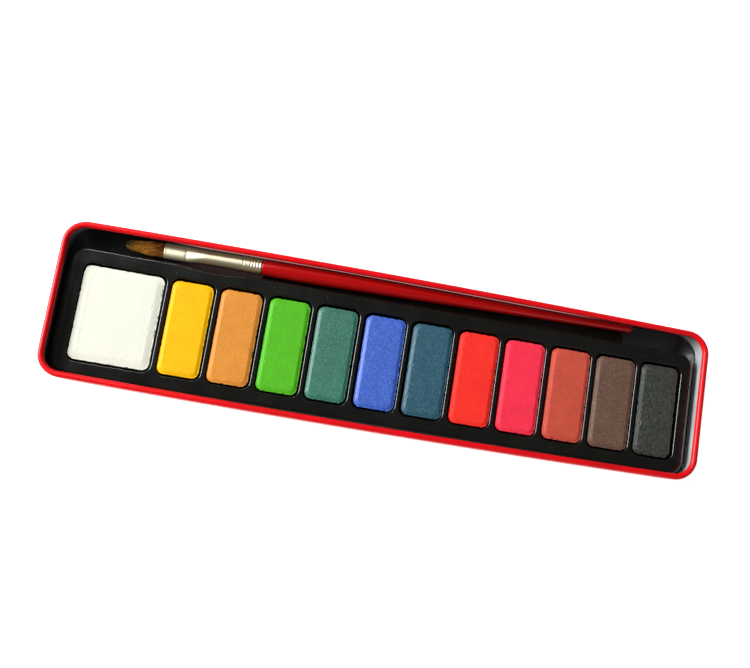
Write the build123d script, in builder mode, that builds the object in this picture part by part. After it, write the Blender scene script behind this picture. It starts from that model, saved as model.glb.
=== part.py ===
"""Watercolour paint set: a long flat tin with a moulded tray, twelve cakes of paint and a brush."""
from build123d import *
from math import cos, hypot, radians, sin, sqrt, tan
import os

# Driving dimensions, in millimetres. X runs along the tin, Y towards the brush, Z up.

# Tin of drawn sheet steel
TIN_LENGTH = 232.0
TIN_WIDTH = 55.8
TIN_HEIGHT = 13.0
TIN_CORNER = 8.2
TIN_SHEET = 0.3
TIN_FOOT_RADIUS = 1.8
CURL_RADIUS = 0.9
CURL_OPEN_ANGLE = 75.0

# Tray of formed plastic sheet
TRAY_SHEET = 0.5
TRAY_FIT = 0.4
TRAY_CORNER = 7.9
LEDGE_LEVEL = 3.2
PLATFORM_LEVEL = 7.5
PLATFORM_CORNER = 5.0
PLATFORM_END_MARGIN = 3.0
PLATFORM_FRONT_MARGIN = 2.6
BRUSH_TROUGH_WIDTH = 9.0
SLOPE_RUN_ENDS = 2.3
SLOPE_RUN_FRONT = 1.3
SLOPE_RUN_BACK = 0.8
PLATFORM_EDGE_RADIUS = 0.7
LIP_RADIUS = 0.3

# Finger recess in the platform's back edge, beside the ferrule
RECESS_WIDTH = 27.0
RECESS_DEPTH = 1.3

# Wells for the cakes: a large one, then narrow ones that share the rest of the platform
LARGE_WELL_WIDTH = 28.85
WELL_LAND = 1.5
WELL_LEFT_MARGIN = 4.45
WELL_RIGHT_MARGIN = 4.0
WELL_SIDE_MARGIN = 4.55
WELL_CORNER = 3.0
WELL_DRAFT = 3.0

# Cakes of paint
CAKE_GAP = 0.6
CAKE_CORNER = 2.4
CAKE_EDGE_DROP = 0.7
CAKE_TOP_RISE = 0.25
CAKE_BEVEL = 1.4
LARGE_CAKE_BEVEL = 2.6
CAKE_FOOT_CHAMFER = 0.4
NARROW_CAKE_NAMES = (
    "cake_yellow",
    "cake_ochre",
    "cake_green",
    "cake_dark_green",
    "cake_blue",
    "cake_indigo",
    "cake_red",
    "cake_crimson",
    "cake_red_brown",
    "cake_umber",
    "cake_black",
)

# Brush, lying on its back along the tray's trough
BRUSH_TIP_GAP = 19.9
BRUSH_END_GAP = 26.8
BRUSH_WALL_GAP = 4.25
BRUSH_ANGLE = 0.7
BRUSH_REST_GAP = 0.05
BRISTLE_LENGTH = 12.6
FERRULE_LENGTH = 34.9
FERRULE_SHEET = 0.3
FERRULE_FLAT_LENGTH = 7.7
FERRULE_PINCH_LENGTH = 7.0
FERRULE_FLAT_HALF_WIDTH = 2.85
FERRULE_FLAT_HALF_HEIGHT = 1.35
FERRULE_FRONT_RADIUS = 2.65
FERRULE_BACK_RADIUS = 2.95
CRIMP_RADIUS = 0.35
CRIMP_DEPTH = 0.15
CRIMP_STATIONS = (1.6, 3.2, 6.4)
HANDLE_NECK_RADIUS = 2.75
HANDLE_BELLY_RADIUS = 3.1
HANDLE_BELLY_SHARE = 0.104
HANDLE_WAIST_RADIUS = 2.3
HANDLE_WAIST_SHARE = 0.58
HANDLE_END_RADIUS = 1.5
TENON_LENGTH = 7.0
TENON_GAP = 0.05

# Bristles: strands in a flat tuft, held by a plug of glue in the ferrule's mouth
STRAND_PITCH = 0.14
STRAND_SIDE = 0.10
STRAND_TIP_SIDE = 0.05
PLUG_GAP = 0.05
PLUG_DEPTH = 1.0
PLUG_THICKNESS = 1.0
BELLY_STATION = 4.5
BELLY_SWELL = 1.03
TIP_WIDTH_SHARE = 0.42
TIP_HEIGHT_SHARE = 0.5
TIP_ROUNDING = 0.32

os.makedirs("parts", exist_ok=True)


def write(builder, name):
    """Label one finished piece, write its file and print its size."""
    builder.part.label = name
    export_step(builder.part, f"parts/{name}.step")
    solids = len(builder.part.solids())
    print(f"{name}: {solids} solid(s), {builder.part.volume:.2f} mm3")


# Tin body: floor and walls in one drawn shell
wall_top = TIN_HEIGHT - CURL_RADIUS
curl_half_length = TIN_LENGTH / 2 - CURL_RADIUS
curl_half_width = TIN_WIDTH / 2 - CURL_RADIUS

with BuildLine(Plane.XY.offset(wall_top)) as curl_course:
    FilletPolyline(
        (-curl_half_length, -curl_half_width),
        (curl_half_length, -curl_half_width),
        (curl_half_length, curl_half_width),
        (-curl_half_length, curl_half_width),
        radius=TIN_CORNER - CURL_RADIUS,
        close=True,
    )

with BuildPart() as tin_body:
    with BuildSketch():
        RectangleRounded(TIN_LENGTH, TIN_WIDTH, TIN_CORNER)
    extrude(amount=wall_top)
    fillet(tin_body.faces().sort_by(Axis.Z)[0].edges(), TIN_FOOT_RADIUS)
    offset(amount=-TIN_SHEET, openings=tin_body.faces().sort_by(Axis.Z)[-1])
    # The rim is curled inwards: a split tube whose outer edge is the wall's top
    curl_start = Plane(origin=curl_course.line @ 0, x_dir=(0, 0, 1), z_dir=curl_course.line % 0)
    with BuildSketch(curl_start):
        Circle(CURL_RADIUS)
        Circle(CURL_RADIUS - TIN_SHEET, mode=Mode.SUBTRACT)
        reach = 2 * CURL_RADIUS
        opening = radians(CURL_OPEN_ANGLE)
        with BuildLine():
            Polyline(
                (0, 0),
                (0, reach),
                (-reach, reach),
                (-reach * sin(opening), reach * cos(opening)),
                close=True,
            )
        make_face(mode=Mode.SUBTRACT)
    sweep(path=curl_course.line)
write(tin_body, "tin_body")


# Tray: a ledge at the tin's walls, and a platform with drafted sides and a well for each cake
inner_half_length = TIN_LENGTH / 2 - TIN_SHEET
inner_half_width = TIN_WIDTH / 2 - TIN_SHEET
tray_half_length = inner_half_length - TRAY_FIT
tray_half_width = inner_half_width - TRAY_FIT
platform_half_length = inner_half_length - PLATFORM_END_MARGIN
platform_front = PLATFORM_FRONT_MARGIN - inner_half_width
platform_back = inner_half_width - BRUSH_TROUGH_WIDTH
platform_height = PLATFORM_LEVEL - LEDGE_LEVEL
platform_middle = (platform_front + platform_back) / 2
well_floor = TIN_SHEET + TRAY_SHEET
well_depth = PLATFORM_LEVEL - well_floor
well_row_y = platform_middle
well_length = platform_back - platform_front - 2 * WELL_SIDE_MARGIN
row_start = WELL_LEFT_MARGIN - platform_half_length
row_end = platform_half_length - WELL_RIGHT_MARGIN
well_pitch = (row_end - row_start - LARGE_WELL_WIDTH) / len(NARROW_CAKE_NAMES)
well_width = well_pitch - WELL_LAND

# Each well: name of its cake, middle along X, width and bevel of the cake
wells = [("cake_white", row_start + LARGE_WELL_WIDTH / 2, LARGE_WELL_WIDTH, LARGE_CAKE_BEVEL)]
for index, cake_name in enumerate(NARROW_CAKE_NAMES):
    middle = row_start + LARGE_WELL_WIDTH + WELL_LAND + well_width / 2 + index * well_pitch
    wells.append((cake_name, middle, well_width, CAKE_BEVEL))


def sheet_inset(run):
    """Inset of the underside's outline that keeps a sloped side one sheet thick."""
    slope = run / platform_height
    return TRAY_SHEET * (sqrt(1 + slope**2) - slope)


def platform_outline(grow):
    """Half length, front and back of the platform's outline, grown by a share of each slope's run."""
    return (
        platform_half_length + grow * SLOPE_RUN_ENDS,
        platform_front - grow * SLOPE_RUN_FRONT,
        platform_back + grow * SLOPE_RUN_BACK,
    )


def inset_outline(outline):
    """The same outline seen from inside the sheet."""
    half_length, front, back = outline
    return (
        half_length - sheet_inset(SLOPE_RUN_ENDS),
        front + sheet_inset(SLOPE_RUN_FRONT),
        back - sheet_inset(SLOPE_RUN_BACK),
    )


foot_corner = PLATFORM_CORNER + SLOPE_RUN_ENDS
outer_levels = (
    (platform_outline(1), foot_corner, LEDGE_LEVEL),
    (platform_outline(0), PLATFORM_CORNER, PLATFORM_LEVEL),
)
inner_levels = (
    (inset_outline(platform_outline(1)), foot_corner, LEDGE_LEVEL - TRAY_SHEET),
    (inset_outline(platform_outline(0)), PLATFORM_CORNER, PLATFORM_LEVEL - TRAY_SHEET),
)

# The finger recess is a shallow arc: its radius follows from its width and depth
recess_radius = (RECESS_WIDTH**2 / 4 + RECESS_DEPTH**2) / (2 * RECESS_DEPTH)
recess_y = platform_back - RECESS_DEPTH + recess_radius
brush_tip_x = BRUSH_TIP_GAP - inner_half_length
recess_x = brush_tip_x + BRISTLE_LENGTH + FERRULE_FLAT_LENGTH / 2

with BuildPart() as tray_underside:
    for (half_length, front, back), corner, level in inner_levels:
        with BuildSketch(Plane.XY.offset(level)):
            with Locations((0, (front + back) / 2)):
                RectangleRounded(2 * half_length, back - front, corner)
    loft(ruled=True)
    with BuildSketch(Plane.XY):
        with Locations((recess_x, recess_y)):
            Circle(recess_radius + TRAY_SHEET)
    extrude(amount=PLATFORM_LEVEL, mode=Mode.SUBTRACT)

with BuildPart() as paint_tray:
    for (half_length, front, back), corner, level in outer_levels:
        with BuildSketch(Plane.XY.offset(level)):
            with Locations((0, (front + back) / 2)):
                RectangleRounded(2 * half_length, back - front, corner)
    loft(ruled=True)
    with BuildSketch(Plane.XY):
        with Locations((recess_x, recess_y)):
            Circle(recess_radius)
    extrude(amount=PLATFORM_LEVEL, mode=Mode.SUBTRACT)
    fillet(paint_tray.faces().sort_by(Axis.Z)[-1].edges(), PLATFORM_EDGE_RADIUS)
    with BuildSketch(Plane.XY.offset(LEDGE_LEVEL - TRAY_SHEET)):
        RectangleRounded(2 * tray_half_length, 2 * tray_half_width, TRAY_CORNER)
    extrude(amount=TRAY_SHEET)
    add(tray_underside.part, mode=Mode.SUBTRACT)
    # Cups below the platform, then the wells inside them
    for _, middle, width, _ in wells:
        with BuildSketch(Plane.XY.offset(PLATFORM_LEVEL - TRAY_SHEET / 2)):
            with Locations((middle, well_row_y)):
                RectangleRounded(
                    width + 2 * TRAY_SHEET, well_length + 2 * TRAY_SHEET, WELL_CORNER + TRAY_SHEET
                )
        extrude(amount=-(PLATFORM_LEVEL - TRAY_SHEET / 2 - TIN_SHEET), taper=WELL_DRAFT)
    for _, middle, width, _ in wells:
        with BuildSketch(Plane.XY.offset(PLATFORM_LEVEL)):
            with Locations((middle, well_row_y)):
                RectangleRounded(width, well_length, WELL_CORNER)
        extrude(amount=-well_depth, taper=WELL_DRAFT, mode=Mode.SUBTRACT)
    top_face = paint_tray.faces().sort_by(Axis.Z)[-1]
    lips = [edge for wire in top_face.inner_wires() for edge in wire.edges()]
    fillet(lips, LIP_RADIUS)
write(paint_tray, "paint_tray")


# Cakes: straight sides, a bevelled top just above the platform and a chamfered foot
def make_cake(name, middle, well_across, bevel):
    """One pressed cake of paint, standing on the floor of its well."""
    width = well_across - 2 * CAKE_GAP
    length = well_length - 2 * CAKE_GAP
    edge_level = PLATFORM_LEVEL - CAKE_EDGE_DROP
    top_level = PLATFORM_LEVEL + CAKE_TOP_RISE
    with BuildPart() as cake:
        with BuildSketch(Plane.XY.offset(well_floor)):
            with Locations((middle, well_row_y)):
                RectangleRounded(width, length, CAKE_CORNER)
        extrude(amount=edge_level - well_floor)
        chamfer(cake.faces().sort_by(Axis.Z)[0].edges(), CAKE_FOOT_CHAMFER)
        for level, inset in ((edge_level, 0), (top_level, bevel)):
            with BuildSketch(Plane.XY.offset(level)):
                with Locations((middle, well_row_y)):
                    RectangleRounded(width - 2 * inset, length - 2 * inset, CAKE_CORNER - inset / 2)
        loft(ruled=True)
    write(cake, name)


for well in wells:
    make_cake(*well)


# Brush: stations are measured along its axis from the tip of the bristles
brush_level = LEDGE_LEVEL + BRUSH_REST_GAP + HANDLE_BELLY_RADIUS
ferrule_mouth = BRISTLE_LENGTH
ferrule_end = ferrule_mouth + FERRULE_LENGTH
handle_end = 2 * inner_half_length - BRUSH_TIP_GAP - BRUSH_END_GAP
handle_length = handle_end - ferrule_end
handle_belly = ferrule_end + HANDLE_BELLY_SHARE * handle_length
handle_waist = ferrule_end + HANDLE_WAIST_SHARE * handle_length
belly_x = brush_tip_x + handle_belly
belly_y = inner_half_width - BRUSH_WALL_GAP
lean = radians(BRUSH_ANGLE)
brush_direction = Vector(cos(lean), sin(lean), 0)
brush_side = Vector(-sin(lean), cos(lean), 0)
brush_tip = Vector(brush_tip_x, belly_y - (belly_x - brush_tip_x) * tan(lean), brush_level)
brush_axis = Axis(brush_tip, brush_direction)
brush_plan = Plane(origin=brush_tip, x_dir=brush_direction, z_dir=(0, 0, 1))


def brush_section(station):
    """Plane across the brush at a station, its x sideways and its y up."""
    return Plane(
        origin=brush_tip + brush_direction * station, x_dir=brush_side, z_dir=brush_direction
    )


# Ferrule: a round tube from the handle, pinched flat at the bristles, with crimped rings
ferrule_stations = (
    (ferrule_mouth, FERRULE_FLAT_HALF_WIDTH, FERRULE_FLAT_HALF_HEIGHT),
    (ferrule_mouth + FERRULE_FLAT_LENGTH, FERRULE_FLAT_HALF_WIDTH, FERRULE_FLAT_HALF_HEIGHT),
    (
        ferrule_mouth + FERRULE_FLAT_LENGTH + FERRULE_PINCH_LENGTH,
        FERRULE_FRONT_RADIUS,
        FERRULE_FRONT_RADIUS,
    ),
    (ferrule_end, FERRULE_BACK_RADIUS, FERRULE_BACK_RADIUS),
)
with BuildPart() as brush_ferrule:
    for inset, mode in ((0, Mode.ADD), (FERRULE_SHEET, Mode.SUBTRACT)):
        for station, half_width, half_height in ferrule_stations:
            with BuildSketch(brush_section(station)):
                Ellipse(half_width - inset, half_height - inset)
        loft(ruled=True, mode=mode)
    for station in CRIMP_STATIONS:
        with BuildSketch(brush_plan):
            crimp_y = FERRULE_BACK_RADIUS + CRIMP_RADIUS - CRIMP_DEPTH
            with Locations((ferrule_end - station, crimp_y)):
                Circle(CRIMP_RADIUS)
        revolve(axis=brush_axis, mode=Mode.SUBTRACT)
write(brush_ferrule, "brush_ferrule")


# Handle: turned wood with a tenon in the ferrule, a belly and a rounded end
def ferrule_bore(back_from_end):
    """Bore radius of the ferrule's round part, at a distance in from its handle end."""
    round_length = FERRULE_LENGTH - FERRULE_FLAT_LENGTH - FERRULE_PINCH_LENGTH
    share = back_from_end / round_length
    return FERRULE_BACK_RADIUS + share * (FERRULE_FRONT_RADIUS - FERRULE_BACK_RADIUS) - FERRULE_SHEET


tenon_tip_radius = ferrule_bore(TENON_LENGTH) - TENON_GAP
tenon_root_radius = ferrule_bore(0) - TENON_GAP
dome_start = handle_end - HANDLE_END_RADIUS
with BuildPart() as brush_handle:
    with BuildSketch(brush_plan):
        with BuildLine():
            Polyline(
                (ferrule_end, HANDLE_NECK_RADIUS),
                (ferrule_end, tenon_root_radius),
                (ferrule_end - TENON_LENGTH, tenon_tip_radius),
                (ferrule_end - TENON_LENGTH, 0),
                (handle_end, 0),
            )
            RadiusArc(
                (handle_end, 0), (dome_start, HANDLE_END_RADIUS), -HANDLE_END_RADIUS
            )
            Spline(
                (dome_start, HANDLE_END_RADIUS),
                (handle_waist, HANDLE_WAIST_RADIUS),
                (handle_belly, HANDLE_BELLY_RADIUS),
                tangents=((-1, 0), (-1, 0)),
            )
            TangentArc(
                (handle_belly, HANDLE_BELLY_RADIUS),
                (ferrule_end, HANDLE_NECK_RADIUS),
                tangent=(-1, 0),
            )
        make_face()
    revolve(axis=brush_axis)
write(brush_handle, "brush_handle")


# Bristles: every strand is a tapered four-sided rod, and the tuft swells, then narrows to its tip
plug_half_width = FERRULE_FLAT_HALF_WIDTH - FERRULE_SHEET - PLUG_GAP
plug_half_height = FERRULE_FLAT_HALF_HEIGHT - FERRULE_SHEET - PLUG_GAP
plug_station = ferrule_mouth + PLUG_DEPTH
root_station = plug_station + PLUG_THICKNESS / 2
belly_station = ferrule_mouth - BELLY_STATION


def tuft_scale(station):
    """Sideways and upward spread of the tuft at a station, and the side of a strand there."""
    if station >= belly_station:
        share = (root_station - station) / (root_station - belly_station)
        swell = 1 + share * (BELLY_SWELL - 1)
        return swell, swell, STRAND_SIDE
    share = 1 - station / belly_station
    width = BELLY_SWELL + share * (TIP_WIDTH_SHARE - BELLY_SWELL)
    height = BELLY_SWELL + share * (TIP_HEIGHT_SHARE - BELLY_SWELL)
    return width, height, STRAND_SIDE + share * (STRAND_TIP_SIDE - STRAND_SIDE)


def strand_corners(side_offset, height_offset, station):
    """Corners of one strand's square outline at a station."""
    width, height, side = tuft_scale(station)
    plane = brush_section(station)
    middle_x = side_offset * width
    middle_y = height_offset * height
    half = side / 2
    corners = ((-half, -half), (half, -half), (half, half), (-half, half))
    return [plane.from_local_coords(Vector(middle_x + x, middle_y + y, 0)) for x, y in corners]


def make_strand(side_offset, height_offset):
    """One flat-sided strand, shorter the further it lies from the tuft's middle."""
    edge_share = abs(side_offset) / plug_half_width
    tip_station = TIP_ROUNDING * BRISTLE_LENGTH * edge_share**2
    stations = (root_station, belly_station, tip_station)
    rings = [strand_corners(side_offset, height_offset, station) for station in stations]
    outlines = [rings[0], rings[-1]]
    for near, far in zip(rings, rings[1:]):
        for side in range(4):
            following = (side + 1) % 4
            outlines.append([near[side], near[following], far[following], far[side]])
    return Solid(Shell([Face(Wire.make_polygon(outline)) for outline in outlines]))


columns = int(plug_half_width / STRAND_PITCH)
rows = int(plug_half_height / STRAND_PITCH)
strands = []
for column in range(-columns, columns + 1):
    for row in range(-rows, rows + 1):
        side_offset = column * STRAND_PITCH
        height_offset = row * STRAND_PITCH
        reach_share = hypot(
            (abs(side_offset) + STRAND_SIDE) / plug_half_width,
            (abs(height_offset) + STRAND_SIDE) / plug_half_height,
        )
        if reach_share < 1:
            strands.append(make_strand(side_offset, height_offset))
print(f"bristles: {len(strands)} strands")

with BuildPart() as brush_bristles:
    with BuildSketch(brush_section(plug_station)):
        Ellipse(plug_half_width, plug_half_height)
    extrude(amount=PLUG_THICKNESS)
    add(strands)
write(brush_bristles, "brush_bristles")
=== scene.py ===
"""Dress the watercolour paint set: lacquered tin, formed tray, pressed cakes and flat brush.

Lengths in this file are millimetres until a mesh, a light or the camera is made.
"""
import functools
import math
import random

import bmesh
import bpy
from mathutils import Euler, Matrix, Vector, noise


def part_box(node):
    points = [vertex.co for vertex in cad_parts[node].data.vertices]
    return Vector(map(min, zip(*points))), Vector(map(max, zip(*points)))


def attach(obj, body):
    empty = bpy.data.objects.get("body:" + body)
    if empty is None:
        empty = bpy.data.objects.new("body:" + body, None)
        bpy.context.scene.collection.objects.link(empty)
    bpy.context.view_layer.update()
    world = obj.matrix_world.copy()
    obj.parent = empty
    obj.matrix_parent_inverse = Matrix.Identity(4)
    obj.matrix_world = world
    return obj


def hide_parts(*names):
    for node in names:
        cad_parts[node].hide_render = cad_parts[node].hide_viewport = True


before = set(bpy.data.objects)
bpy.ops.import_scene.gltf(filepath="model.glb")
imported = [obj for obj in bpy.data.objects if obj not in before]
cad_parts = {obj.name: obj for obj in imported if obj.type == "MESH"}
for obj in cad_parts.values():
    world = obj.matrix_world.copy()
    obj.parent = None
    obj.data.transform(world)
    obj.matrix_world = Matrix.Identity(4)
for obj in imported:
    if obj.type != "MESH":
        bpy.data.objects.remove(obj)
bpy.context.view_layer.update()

bl_info = {
    "name": "Watercolour paint set",
    "version": (1, 0, 0),
    "blender": (4, 5, 0),
    "location": "View3D > Sidebar > Paint set",
    "description": "Makes the tin, tray, cakes and brush of a watercolour paint set, and a stage",
    "category": "Object",
}

MM = 0.001
NARROW_CAKES = (
    "yellow", "ochre", "green", "dark_green", "blue", "indigo",
    "red", "crimson", "red_brown", "umber", "black",
)
# How much each paint shines where its gum has come up, from 0 to 1
GLOSS = {
    "white": 0.2, "yellow": 0.15, "ochre": 0.25, "green": 0.2, "dark_green": 0.75, "blue": 0.9,
    "indigo": 0.75, "red": 0.2, "crimson": 0.3, "red_brown": 0.3, "umber": 0.8, "black": 1.0,
}
# Cakes that have slipped to the right in their wells, and how far in millimetres
SLIPPED = {
    "blue": 0.3, "indigo": 0.35, "red": 0.4, "crimson": 0.4, "red_brown": 0.4, "umber": 0.3,
    "black": 0.2,
}


# Sizes read from the frame

def box_mm(node):
    """Lowest and highest corner of a CAD node, in millimetres."""
    low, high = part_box(node)
    return Vector(low) / MM, Vector(high) / MM


def size_mm(node, axis):
    """Length of a CAD node along one axis, in millimetres."""
    low, high = box_mm(node)
    return high[axis] - low[axis]


# Colour

def from_hex(text):
    """Turn an sRGB hex colour into linear red, green and blue."""
    channels = [int(text[i:i + 2], 16) / 255 for i in (1, 3, 5)]
    return tuple(c / 12.92 if c <= 0.04045 else ((c + 0.055) / 1.055) ** 2.4 for c in channels)


def shade(colour, share=1.0):
    """The same colour, lighter or darker, with the alpha that a socket needs."""
    return tuple(min(1.0, c * share) for c in colour[:3]) + (1.0,)


# Properties that a user would change

def measure(name, description, millimetres):
    """A length, kept in metres and shown in the scene's unit."""
    return bpy.props.FloatProperty(
        name=name, description=description, default=millimetres * MM, min=0.0, precision=5,
        subtype="DISTANCE", unit="LENGTH",
    )


def tint(name, description, text):
    """A colour, given as sRGB hex and kept linear."""
    return bpy.props.FloatVectorProperty(
        name=name, description=description, default=from_hex(text), min=0.0, max=1.0,
        size=3, subtype="COLOR",
    )


class TinSizes(bpy.types.PropertyGroup):
    """Sizes of the tin's sheet."""

    sheet: measure("Sheet", "Thickness of the tinplate", 0.3)
    corner: measure("Corner", "Radius of the tin's corners, seen from above", 8.2)
    bow: measure("Bow", "How far the long sides bow outwards", 1.0)
    foot: measure("Foot", "Radius between the wall and the floor", 1.8)
    curl: measure("Curl", "Radius of the rolled rim", 1.1)


class TraySizes(bpy.types.PropertyGroup):
    """Sizes of the formed tray."""

    ledge: measure("Ledge level", "Height of the ledge round the platform", 3.2)
    platform: measure("Platform level", "Height of the platform that holds the cakes", 7.5)
    platform_corner: measure("Platform corner", "Corner radius of the platform", 5.0)
    tray_corner: measure("Tray corner", "Corner radius of the tray's front corners", 7.9)
    back_corner: measure("Back corner", "Corner radius of the tray's back corners", 9.6)
    edge: measure("Edge", "Radius of the platform's upper edge", 0.7)
    lip: measure("Lip", "Radius of the lip of each well", 0.4)
    well_corner: measure("Well corner", "Corner radius of each well", 3.0)
    gap: measure("Gap", "Gap between a cake and its well", 0.6)
    skin: measure("Skin", "Thickness of the formed sheet", 0.25)


class CakeSizes(bpy.types.PropertyGroup):
    """Sizes of the pressed cakes."""

    corner: measure("Corner", "Corner radius of a cake", 2.4)
    bevel: measure("Bevel", "Width of the bevel of a narrow cake", 1.5)
    large_bevel: measure("Large bevel", "Width of the bevel of the large cake", 2.6)
    drop: measure("Drop", "How far the bevel falls", 0.46)
    crumb: measure("Crumb", "Size of the crumbs at a cake's edge", 0.45)


class BrushSizes(bpy.types.PropertyGroup):
    """Sizes of the brush."""

    ferrule_sheet: measure("Ferrule sheet", "Thickness of the ferrule's tube", 0.3)
    flat: measure("Flat", "Length of the ferrule's flat mouth", 7.7)
    pinch: measure("Pinch", "Length over which the ferrule turns round", 7.0)
    hair: measure("Hair", "Thickness of one hair at its root", 0.085)
    hairs: bpy.props.IntProperty(
        name="Hairs", description="Number of hairs in the tuft", default=2600, min=100, max=8000
    )
    lean: bpy.props.FloatProperty(
        name="Lean", description="Angle between the brush and the tin, seen from above",
        default=math.radians(0.7), subtype="ANGLE", unit="ROTATION",
    )


class PaintColours(bpy.types.PropertyGroup):
    """Colours of the cakes of paint."""

    white: tint("White", "Zinc white", "#E0E1D2")
    yellow: tint("Yellow", "Warm yellow", "#F2B705")
    ochre: tint("Ochre", "Yellow ochre", "#D68B34")
    green: tint("Green", "Leaf green", "#53B31F")
    dark_green: tint("Dark green", "Viridian", "#2C6E5C")
    blue: tint("Blue", "Ultramarine", "#2F5CC0")
    indigo: tint("Indigo", "Indigo", "#1F5366")
    red: tint("Red", "Vermilion", "#FA3329")
    crimson: tint("Crimson", "Crimson", "#FD324D")
    red_brown: tint("Red brown", "Burnt sienna", "#C9513F")
    umber: tint("Umber", "Burnt umber", "#674939")
    black: tint("Black", "Lamp black", "#282E27")


class OtherColours(bpy.types.PropertyGroup):
    """Colours of the tin, the tray and the brush."""

    lacquer: tint("Lacquer", "Red lacquer on the tin", "#DE1018")
    tinplate: tint("Tinplate", "Bare tinplate inside the tin", "#D9DDDF")
    tray: tint("Tray", "Black formed sheet", "#0F0F0D")
    handle: tint("Handle", "Red lacquer on the handle", "#AE0303")
    ferrule: tint("Ferrule", "Metal of the ferrule", "#E0D8B8")
    hair_root: tint("Hair root", "Hair at the ferrule", "#5E2E06")
    hair_middle: tint("Hair middle", "Hair half way along", "#9A661C")
    hair_tip: tint("Hair tip", "Hair at the tip", "#241C06")
    floor: tint("Floor", "Paper that the tin lies on", "#FFFFFF")


# Nodes

def add_node(tree, kind, settings=None, links=None, result=0):
    """Add one shader node with its settings and links, and give back the output asked for."""
    new = tree.nodes.new("ShaderNode" + kind)
    for key, value in (settings or {}).items():
        if key == "stops":
            ramp = new.color_ramp
            while len(ramp.elements) < len(value):
                ramp.elements.new(1.0)
            for element, (place, colour) in zip(ramp.elements, value):
                element.position = place
                element.color = colour
        elif isinstance(key, int) or key in new.inputs:
            new.inputs[key].default_value = value
        else:
            setattr(new, key, value)
    for key, source in (links or {}).items():
        tree.links.new(source, new.inputs[key])
    return new.outputs[result] if new.outputs else None


def per_mm(size):
    """Scale of a pattern whose features are this many millimetres across."""
    return 1.0 / (size * MM)


def start_material(name):
    """An empty material, the way to add nodes to it, and the coordinates of its patterns."""
    material = bpy.data.materials.new(name)
    material.use_nodes = True
    material.node_tree.nodes.clear()
    add = functools.partial(add_node, material.node_tree)
    return material, add, add("TexCoord", result="Object")


def vary(add, under, over, pattern, limits=(0.3, 0.7), shares=(0.0, 1.0)):
    """Lay one colour over another as a pattern passes its limits, and give back the mix."""
    share = add(
        "MapRange",
        {"From Min": limits[0], "From Max": limits[1], "To Min": shares[0], "To Max": shares[1]},
        {"Value": pattern},
    )
    settings, links = {"data_type": "RGBA", 7: over}, {0: share}
    (settings if isinstance(under, tuple) else links)[6] = under
    return add("Mix", settings, links, 2)


def finish_material(add, settings, base, rough=None, normal=None, more=None):
    """Close a material with one principled shader."""
    links = {"Base Color": base, "Roughness": rough, "Normal": normal, **(more or {})}
    links = {key: source for key, source in links.items() if source is not None}
    add("OutputMaterial", None, {"Surface": add("BsdfPrincipled", settings, links)})


# Materials

# Painted light: an emission glow, though the tinplate is no lamp, stands in for light caught
# between the handle and the tin's back wall. Its strength, and where it starts and is full:
# sideways from the middle, at the wall's inner face, above the floor and below the handle's top.
PAINTED_GLOW = 0.85
PAINTED_GLOW_LIMITS = ((80.0, 70.0), (26.3, 26.6), (1.6, 2.0), (4.0, 3.6))
PAINTED_GLOW_COLOUR = "#FFC4C4"
DUST = "#8A8A80"
# Painted shade between the hair's locks, and painted highlight along them
HAIR_SHADOW = "#2E1C06"
HAIR_HIGHLIGHT = "#C8963A"


def stoved_red_lacquer(colours):
    """Tinplate with stoved red lacquer, rolled on flat: a deep gloss with a faint ripple."""
    material, add, place = start_material("stoved_red_lacquer_on_tinplate")
    red = colours.lacquer
    cloud = add("TexNoise", {"Scale": per_mm(14.0), "Detail": 3.0}, {"Vector": place})
    drawn_out = add("Mapping", {"Scale": (0.25, 1.0, 1.0)}, {"Vector": place})
    # Scuffs are finer than a tenth of a millimetre: drawn wider, so that they show
    scuff = add(
        "TexNoise", {"Scale": per_mm(0.5), "Detail": 6.0, "Roughness": 0.7}, {"Vector": drawn_out}
    )
    ripple = add("TexNoise", {"Scale": per_mm(1.1), "Detail": 1.0}, {"Vector": place})
    base = vary(add, shade(red, 0.88), shade(red, 1.1), cloud)
    base = vary(add, base, shade(red, 0.6), scuff, (0.68, 0.76))
    rough = add(
        "MapRange", {"From Min": 0.35, "From Max": 0.75, "To Min": 0.26, "To Max": 0.44},
        {"Value": scuff},
    )
    normal = add("Bump", {"Strength": 0.3, "Distance": 0.02 * MM}, {"Height": ripple})
    normal = add(
        "Bump", {"Strength": 0.2, "Distance": 0.01 * MM}, {"Height": scuff, "Normal": normal}
    )
    finish_material(
        add, {"IOR": 1.5, "Specular IOR Level": 0.22, "Coat Weight": 0.08, "Coat Roughness": 0.2},
        base, rough, normal,
    )
    return material


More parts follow.
